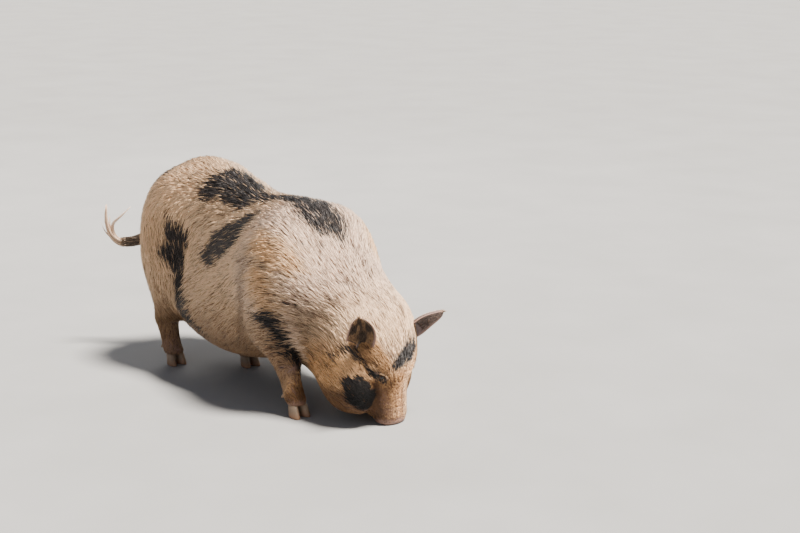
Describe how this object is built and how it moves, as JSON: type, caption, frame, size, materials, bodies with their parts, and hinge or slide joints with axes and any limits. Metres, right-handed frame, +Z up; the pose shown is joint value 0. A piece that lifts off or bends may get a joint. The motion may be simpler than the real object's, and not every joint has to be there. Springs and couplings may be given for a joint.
{
  "type": "miniature pig",
  "caption": "Stocky spotted miniature pig standing with its head down to root, bristly coat, short legs with cloven hooves, and a tasselled tail.",
  "frame": {"origin": "on the floor below the middle of the whole pig's bounding box", "axes": "+X towards the head, +Y to the pig's left, +Z up"},
  "size_m": [0.9806, 0.3372, 0.504],
  "materials": {
    "coat": "pale bristly hair over pinkish grey skin, with black and dark brown patches",
    "bare_skin": "matt grey pink skin with short hair",
    "tail_hair": "long white hair",
    "horn": "dull brown horn",
    "eye": "wet dark brown"
  },
  "bodies": {
    "root": {"torso": "coat", "neck": "coat", "head": "coat", "ear_left": "bare_skin", "ear_right": "bare_skin", "eye_left": "eye", "eye_right": "eye", "tail": "bare_skin", "tail_switch": "tail_hair", "leg_front_left": "coat", "hoof_front_left_a": "horn", "dewclaw_front_left_a": "horn", "hoof_front_left_b": "horn", "dewclaw_front_left_b": "horn", "leg_front_right": "coat", "hoof_front_right_a": "horn", "dewclaw_front_right_a": "horn", "hoof_front_right_b": "horn", "dewclaw_front_right_b": "horn", "leg_hind_left": "coat", "hoof_hind_left_a": "horn", "dewclaw_hind_left_a": "horn", "hoof_hind_left_b": "horn", "dewclaw_hind_left_b": "horn", "leg_hind_right": "coat", "hoof_hind_right_a": "horn", "dewclaw_hind_right_a": "horn", "hoof_hind_right_b": "horn", "dewclaw_hind_right_b": "horn"}
  },
  "joints": []
}
